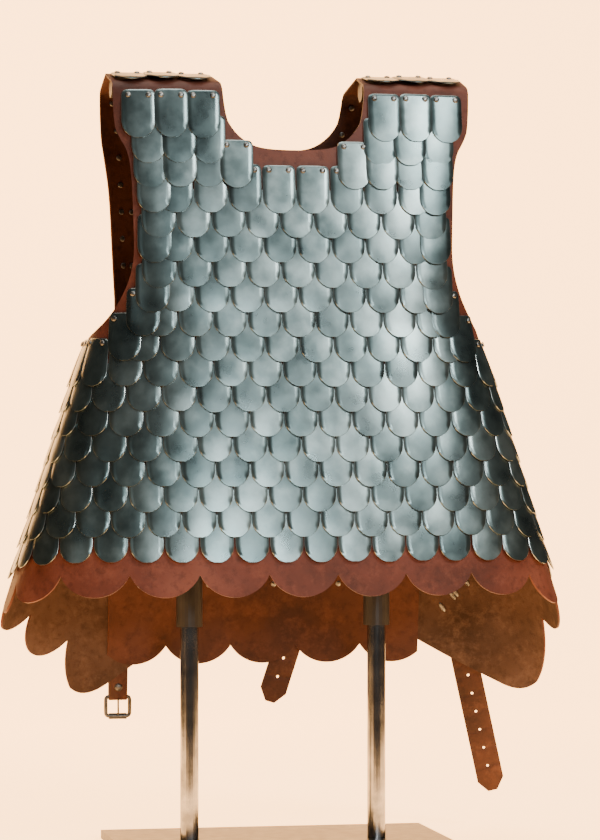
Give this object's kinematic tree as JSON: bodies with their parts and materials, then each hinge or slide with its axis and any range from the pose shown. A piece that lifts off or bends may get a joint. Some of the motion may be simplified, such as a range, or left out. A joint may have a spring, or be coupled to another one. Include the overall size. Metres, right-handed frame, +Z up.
{
  "type": "scale armour vest on a two-pole display stand",
  "caption": "Sleeveless scale armour vest of round-ended steel scales riveted on brown leather, lobed hem, on a low stand with two poles.",
  "frame": {"origin": "underside of the stand's base plate, midway between the poles", "axes": "+Z up, the front of the armour faces -Y, +X to the right as seen from the front"},
  "size_m": [0.781, 0.36, 1.066],
  "materials": {
    "leather": "worn, satin",
    "back_leather": "worn, matt",
    "strap": "satin",
    "steel": "satin, oiled",
    "iron": "dark",
    "black": "matt black",
    "chrome": "polished"
  },
  "bodies": {
    "root": {"arm_left": "black", "arm_right": "black", "back_scales_00_left": "steel", "back_scales_00_right": "steel", "back_scales_01_left": "steel", "back_scales_01_right": "steel", "back_scales_02": "steel", "back_scales_03": "steel", "back_scales_04": "steel", "back_scales_05": "steel", "back_scales_06": "steel", "back_scales_07": "steel", "back_scales_08": "steel", "back_scales_09": "steel", "back_scales_10": "steel", "back_scales_11": "steel", "back_scales_12": "steel", "back_scales_13": "steel", "back_scales_14": "steel", "back_scales_15": "steel", "back_scales_16": "steel", "back_scales_17": "steel", "back_scales_18": "steel", "base_plate": "black", "buckle_frame": "iron", "buckle_prong": "iron", "buckle_strap": "strap", "front_scales_00_left": "steel", "front_scales_00_right": "steel", "front_scales_01_left": "steel", "front_scales_01_right": "steel", "front_scales_02_left": "steel", "front_scales_02_right": "steel", "front_scales_03": "steel", "front_scales_04": "steel", "front_scales_05": "steel", "front_scales_06": "steel", "front_scales_07": "steel", "front_scales_08": "steel", "front_scales_09": "steel", "front_scales_10": "steel", "front_scales_11": "steel", "front_scales_12": "steel", "front_scales_13": "steel", "front_scales_14": "steel", "front_scales_15": "steel", "front_scales_16": "steel", "front_scales_17": "steel", "leather_back": "back_leather", "leather_front": "leather", "long_strap": "strap", "pole_left": "chrome", "pole_right": "chrome", "ridge_scales_left": "steel", "ridge_scales_right": "steel", "shoulder_strap_left": "strap", "shoulder_strap_right": "strap", "sleeve_left": "black", "sleeve_right": "black", "upper_strap": "strap"}
  },
  "joints": []
}
